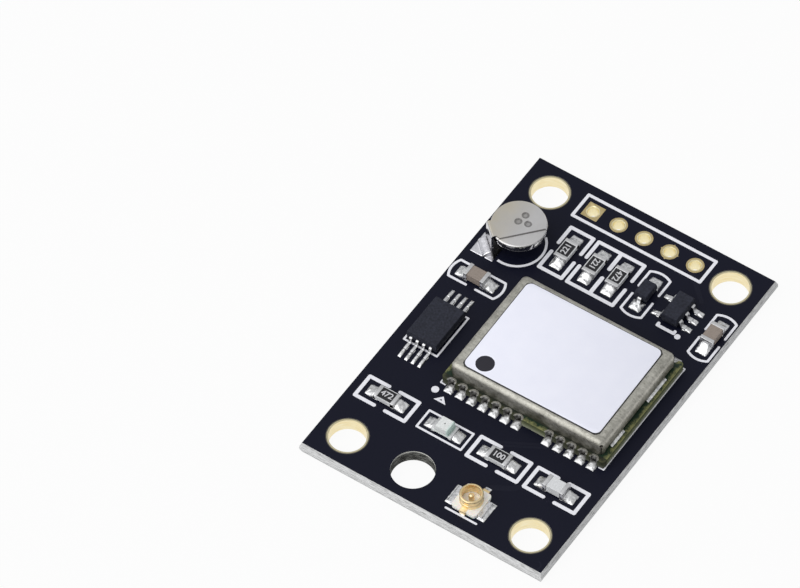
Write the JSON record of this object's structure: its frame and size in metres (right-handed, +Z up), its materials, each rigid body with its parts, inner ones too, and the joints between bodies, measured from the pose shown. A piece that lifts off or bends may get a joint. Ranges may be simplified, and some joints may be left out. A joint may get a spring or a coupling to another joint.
{
  "type": "satellite receiver module",
  "caption": "Small black carrier board with a shielded satellite receiver, a backup cell, a coax socket and chip parts.",
  "frame": {"origin": "middle of the carrier board's underside", "axes": "+X along the header row from the square pad, +Y towards the header row, +Z up from the parts side"},
  "size_m": [0.0238, 0.0358, 0.0038],
  "materials": {
    "mask": "satin",
    "gilt": "polished",
    "ink": "matte",
    "laminate": "satin",
    "solder": "polished",
    "nickel": "satin",
    "label": "matte",
    "moulding": "matte",
    "ceramic": "satin",
    "brown_ceramic": "satin",
    "steel": "satin",
    "socket_plastic": "satin",
    "tin": "satin",
    "white_plastic": "satin",
    "lens": "gloss",
    "coat": "satin"
  },
  "bodies": {
    "root": {"circuit_board": "mask", "mounting_hole_sleeves": "gilt", "header_pads": "gilt", "legend": "ink", "receiver_board": "laminate", "receiver_castellations": "gilt", "receiver_solder": "solder", "shield_can": "nickel", "shield_can_solder": "solder", "receiver_label": "label", "receiver_chip": "moulding", "reference_oscillator": "nickel", "clock_crystal": "nickel", "band_filter": "ceramic", "receiver_passives": "brown_ceramic", "backup_cell": "steel", "cell_top_tab": "steel", "cell_bottom_tab": "steel", "cell_solder": "solder", "coax_socket_base": "socket_plastic", "coax_socket_shell": "gilt", "coax_socket_pin": "gilt", "coax_socket_solder": "solder", "memory_body": "moulding", "memory_leads": "tin", "memory_solder": "solder", "regulator_body": "moulding", "regulator_leads": "tin", "regulator_solder": "solder", "diode_body": "moulding", "diode_leads": "tin", "diode_solder": "solder", "light_base": "white_plastic", "light_lens": "lens", "light_die": "ceramic", "light_terminals": "tin", "light_solder": "solder", "inductor_body": "ceramic", "inductor_end_caps": "tin", "inductor_solder": "solder", "input_capacitor": "brown_ceramic", "output_capacitor": "brown_ceramic", "capacitor_end_caps": "tin", "capacitor_solder": "solder", "serial_resistor_a": "ceramic", "serial_resistor_b": "ceramic", "pull_up_resistor_back": "ceramic", "pull_up_resistor_front": "ceramic", "antenna_feed_resistor": "ceramic", "resistor_end_caps": "tin", "resistor_coats": "coat", "resistor_solder": "solder"}
  },
  "joints": []
}
